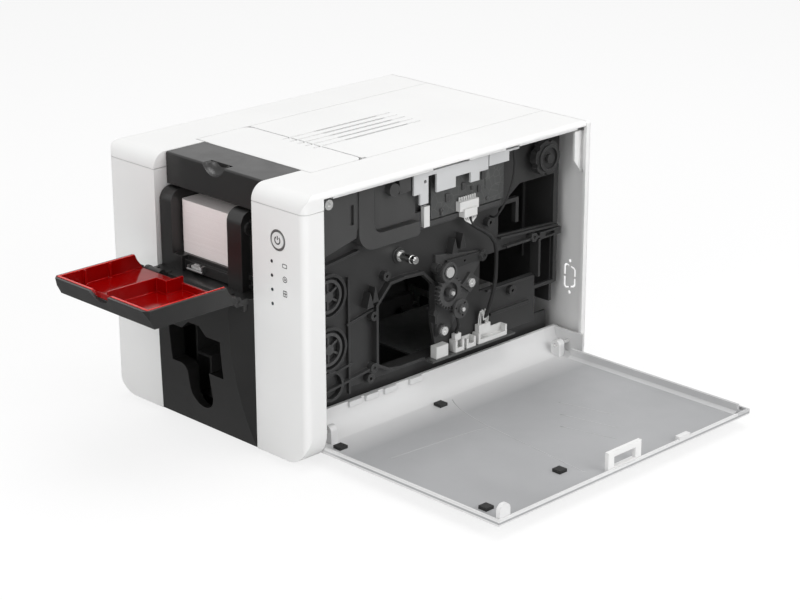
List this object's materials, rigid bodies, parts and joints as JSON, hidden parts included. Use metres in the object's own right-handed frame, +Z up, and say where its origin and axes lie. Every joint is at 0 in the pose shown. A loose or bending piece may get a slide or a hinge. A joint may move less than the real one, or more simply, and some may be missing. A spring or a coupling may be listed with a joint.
{
  "type": "id card printer",
  "caption": "Desktop card printer with a rounded housing, drop-down side door over the mechanism, flip-down card tray, card feeder, output bin and hinged lid.",
  "frame": {"origin": "On the table under the middle of the housing, in the plane of the rubber feet.", "axes": "+X to the machine's right, where the side door hangs; +Y to its back; +Z up."},
  "size_m": [0.3625, 0.3753, 0.1925],
  "materials": {
    "white_shell": "satin",
    "black_front": "fine matte",
    "dark_frame": "matte",
    "rubber": "matte",
    "white_card": "satin",
    "bright_metal": "polished",
    "grey_spring": "satin",
    "dark_board": "satin",
    "pale_bracket": "satin",
    "grey_metal": "satin",
    "pale_connector": "satin",
    "black_lead": "satin",
    "pale_button": "satin",
    "grey_ring": "satin",
    "lamp": "glossy",
    "red_clear": "glossy, clear",
    "dark_pin": "matte"
  },
  "bodies": {
    "housing": {"base_pan": "dark_frame", "rubber_feet": "rubber", "left_cover": "white_shell", "left_column": "white_shell", "control_column": "white_shell", "top_strip_left": "white_shell", "top_strip_right": "white_shell", "top_centre_panel": "white_shell", "rear_cover": "white_shell", "side_plate_right": "dark_frame", "side_plate_left": "dark_frame", "cross_wall": "dark_frame", "front_panel": "black_front", "output_bin": "dark_frame", "feeder_frame": "black_front", "card_stack": "white_card", "sill_clip": "bright_metal", "spring_wire": "grey_spring", "upper_housing": "dark_frame", "upper_board": "dark_board", "housing_brackets": "pale_bracket", "gear_plate": "dark_frame", "gear_shafts": "bright_metal", "tension_arm": "dark_frame", "print_head": "grey_metal", "main_board": "dark_board", "board_connectors": "pale_connector", "harness_long": "black_lead", "harness_short": "black_lead", "harness_thin": "black_lead", "bay_screws": "bright_metal", "flange_brackets": "dark_frame", "button_ring": "grey_ring", "indicator_lamps": "lamp", "door_pins": "bright_metal", "inlet_socket": "dark_frame", "data_sockets": "bright_metal"},
    "side_door": {"door_panel": "white_shell", "latch_loop": "white_shell", "door_pads": "rubber"},
    "card_tray": {"tray_shell": "black_front", "tray_liner": "red_clear", "tray_pins": "dark_pin"},
    "lid": {"lid_panel": "white_shell", "lid_hood": "black_front", "lid_pins": "bright_metal"},
    "button": {"power_button": "pale_button"},
    "gear": {"main_gear": "dark_frame"},
    "pulley": {"drive_pulley": "dark_frame"},
    "idler": {"idler_gear": "dark_frame"},
    "platen": {"platen_roller": "rubber", "platen_shaft": "bright_metal"},
    "feeder": {"feed_roller": "rubber"},
    "wheel_a": {"wheel_upper": "dark_frame"},
    "wheel_b": {"wheel_lower": "dark_frame"},
    "knob": {"rear_knob": "dark_frame"}
  },
  "joints": [
    {"name": "side_door_hinge", "type": "hinge", "parent": "housing", "child": "side_door", "pos_m": [0.0914, 0, 0.0199], "axis": [0, -1, 0], "range_deg": [0, 90]},
    {"name": "tray_hinge", "type": "hinge", "parent": "housing", "child": "card_tray", "pos_m": [0, -0.154, 0.112], "axis": [-1, 0, 0], "range_deg": [0, 90]},
    {"name": "lid_hinge", "type": "hinge", "parent": "housing", "child": "lid", "pos_m": [0, -0.058, 0.1882], "axis": [-1, 0, 0], "range_deg": [0, 65]},
    {"name": "button_press", "type": "slide", "parent": "housing", "child": "button", "axis": [0, 1, 0], "range_m": [0, 0.001], "stiffness_N_per_m": 400, "springref_m": -0.0005},
    {"name": "gear_turn", "type": "hinge", "parent": "housing", "child": "gear", "pos_m": [0.089, 0.0035, 0.091], "axis": [1, 0, 0], "continuous": true},
    {"name": "pulley_turn", "type": "hinge", "parent": "housing", "child": "pulley", "pos_m": [0.089, 0.0005, 0.10723], "axis": [1, 0, 0], "continuous": true},
    {"name": "idler_turn", "type": "hinge", "parent": "housing", "child": "idler", "pos_m": [0.089, 0.0125, 0.07717], "axis": [1, 0, 0], "continuous": true},
    {"name": "platen_turn", "type": "hinge", "parent": "housing", "child": "platen", "pos_m": [0, -0.0355, 0.125], "axis": [1, 0, 0], "continuous": true},
    {"name": "feed_turn", "type": "hinge", "parent": "housing", "child": "feeder", "pos_m": [0, -0.0975, 0.1166], "axis": [1, 0, 0], "continuous": true},
    {"name": "upper_wheel_turn", "type": "hinge", "parent": "housing", "child": "wheel_a", "pos_m": [0.08, -0.104, 0.112], "axis": [1, 0, 0], "continuous": true},
    {"name": "lower_wheel_turn", "type": "hinge", "parent": "housing", "child": "wheel_b", "pos_m": [0.08, -0.104, 0.074], "axis": [1, 0, 0], "continuous": true},
    {"name": "knob_turn", "type": "hinge", "parent": "housing", "child": "knob", "pos_m": [0.08, 0.1075, 0.1679], "axis": [1, 0, 0], "continuous": true}
  ],
  "couplings": [
    {"joint": "pulley_turn", "follows": "gear_turn", "ratio": -2.4},
    {"joint": "idler_turn", "follows": "gear_turn", "ratio": -2.4}
  ]
}
